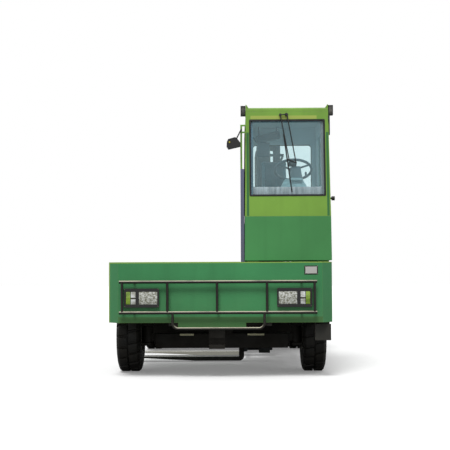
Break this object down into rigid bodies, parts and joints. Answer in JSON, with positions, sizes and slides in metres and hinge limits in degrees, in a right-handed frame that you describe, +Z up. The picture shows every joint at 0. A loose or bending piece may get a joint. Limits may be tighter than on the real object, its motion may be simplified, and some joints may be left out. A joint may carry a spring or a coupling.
{
  "type": "side loader forklift",
  "caption": "Side loading forklift truck: cab at one corner, flat decks, and a mast that reaches out sideways across a centre well.",
  "frame": {"origin": "on the floor under the middle of the overall box", "axes": "+Z up, -Y towards the front end with the cab, +X towards the cab and door side, -X towards the load side"},
  "size_m": [2.45, 5.3, 2.959],
  "materials": {
    "deck_green": "semi-gloss paint, worn",
    "cab_green": "semi-gloss paint",
    "black_paint": "satin black paint, worn to metal on top",
    "frame_paint": "dull dark paint with dust",
    "grey_paint": "grey paint",
    "tyre": "dusty black rubber",
    "rim": "grey paint with dust",
    "glass": "clear tinted glass",
    "seal": "black rubber",
    "lens": "clear ribbed lens",
    "black_plastic": "black plastic",
    "seat": "dark woven seat cover",
    "steel": "steel worn bright",
    "chain": "oiled steel",
    "engine": "dark castings"
  },
  "bodies": {
    "chassis": {"front_deck": "deck_green", "rear_deck": "deck_green", "frames": "frame_paint", "well_rails": "frame_paint", "side_beam": "frame_paint", "guards": "black_paint", "lamp_housings": "black_plastic", "lamp_lenses": "lens", "cab_base": "deck_green", "cab_front_panel": "cab_green", "cab_back_panel": "cab_green", "cab_side_panel": "cab_green", "cab_roof": "cab_green", "windscreen_seal": "seal", "cab_glass": "glass", "load_guard": "grey_paint", "mirror_arm": "black_plastic", "wiper": "black_plastic", "seat_base": "black_plastic", "seat": "seat", "dash": "black_plastic", "steering_wheel": "black_plastic", "cab_step": "black_paint", "front_axle": "frame_paint", "rear_axle": "frame_paint", "engine_block": "engine", "tanks": "black_paint"},
    "door": {"cab_door": "cab_green", "door_glass": "glass"},
    "hood": {"engine_hood": "deck_green"},
    "left_steering": {"left_knuckle": "frame_paint"},
    "right_steering": {"right_knuckle": "frame_paint"},
    "reach": {"reach_carriage": "frame_paint"},
    "mast": {"outer_mast": "frame_paint"},
    "upper_mast": {"inner_mast": "frame_paint", "lift_chains": "chain"},
    "fork_lift": {"fork_carriage": "frame_paint", "forks": "steel"},
    "tilt_cylinders": {"tilt_barrels": "black_paint"},
    "tilt_plungers": {"tilt_rods": "steel"},
    "front_left_wheel": {"front_left_tyre": "tyre", "front_left_rim": "rim"},
    "front_right_wheel": {"front_right_tyre": "tyre", "front_right_rim": "rim"},
    "rear_left_wheel": {"rear_left_tyre": "tyre", "rear_left_rim": "rim"},
    "rear_right_wheel": {"rear_right_tyre": "tyre", "rear_right_rim": "rim"}
  },
  "joints": [
    {"name": "door_hinge", "type": "hinge", "parent": "chassis", "child": "door", "pos_m": [1.191, -1.048, 1.5], "axis": [0, 0, 1], "range_deg": [0, 85]},
    {"name": "hood_hinge", "type": "hinge", "parent": "chassis", "child": "hood", "pos_m": [0.233, 1.6, 1.257], "axis": [0, -1, 0], "range_deg": [0, 55]},
    {"name": "steer_left", "type": "hinge", "parent": "chassis", "child": "left_steering", "pos_m": [-0.877, -1.68, 0.42], "axis": [0, 0, 1], "range_deg": [-35, 35]},
    {"name": "steer_right", "type": "hinge", "parent": "chassis", "child": "right_steering", "pos_m": [0.827, -1.68, 0.42], "axis": [0, 0, 1], "range_deg": [-35, 35]},
    {"name": "mast_reach", "type": "slide", "parent": "chassis", "child": "reach", "axis": [-1, 0, 0], "range_m": [0, 1.3]},
    {"name": "mast_tilt", "type": "hinge", "parent": "reach", "child": "mast", "pos_m": [0.49, 0, 0.47], "axis": [0, 1, 0], "range_deg": [-3, 5]},
    {"name": "mast_lift", "type": "slide", "parent": "mast", "child": "upper_mast", "axis": [0, 0, 1], "range_m": [0, 1.65]},
    {"name": "carriage_lift", "type": "slide", "parent": "upper_mast", "child": "fork_lift", "axis": [0, 0, 1], "range_m": [0, 1.65], "deforming": ["lift_chains"]},
    {"name": "tilt_swing", "type": "hinge", "parent": "reach", "child": "tilt_cylinders", "pos_m": [0.89, 0, 0.64], "axis": [0, 1, 0], "range_deg": [-3.6, 5.95]},
    {"name": "tilt_stroke", "type": "slide", "parent": "tilt_cylinders", "child": "tilt_plungers", "axis": [-0.1395, 0, 0.9902], "range_m": [-0.0375, 0.0228]},
    {"name": "front_left_roll", "type": "hinge", "parent": "left_steering", "child": "front_left_wheel", "pos_m": [-1.067, -1.68, 0.42], "axis": [1, 0, 0], "continuous": true},
    {"name": "front_right_roll", "type": "hinge", "parent": "right_steering", "child": "front_right_wheel", "pos_m": [1.017, -1.68, 0.42], "axis": [1, 0, 0], "continuous": true},
    {"name": "rear_left_roll", "type": "hinge", "parent": "chassis", "child": "rear_left_wheel", "pos_m": [-1.067, 1.68, 0.42], "axis": [1, 0, 0], "continuous": true},
    {"name": "rear_right_roll", "type": "hinge", "parent": "chassis", "child": "rear_right_wheel", "pos_m": [1.017, 1.68, 0.42], "axis": [1, 0, 0], "continuous": true}
  ],
  "couplings": [
    {"joint": "steer_right", "follows": "steer_left", "ratio": 1},
    {"joint": "carriage_lift", "follows": "mast_lift", "ratio": 1},
    {"joint": "tilt_swing", "follows": "mast_tilt", "ratio": 1.17},
    {"joint": "tilt_stroke", "follows": "mast_tilt", "m_per_rad": -0.416}
  ]
}
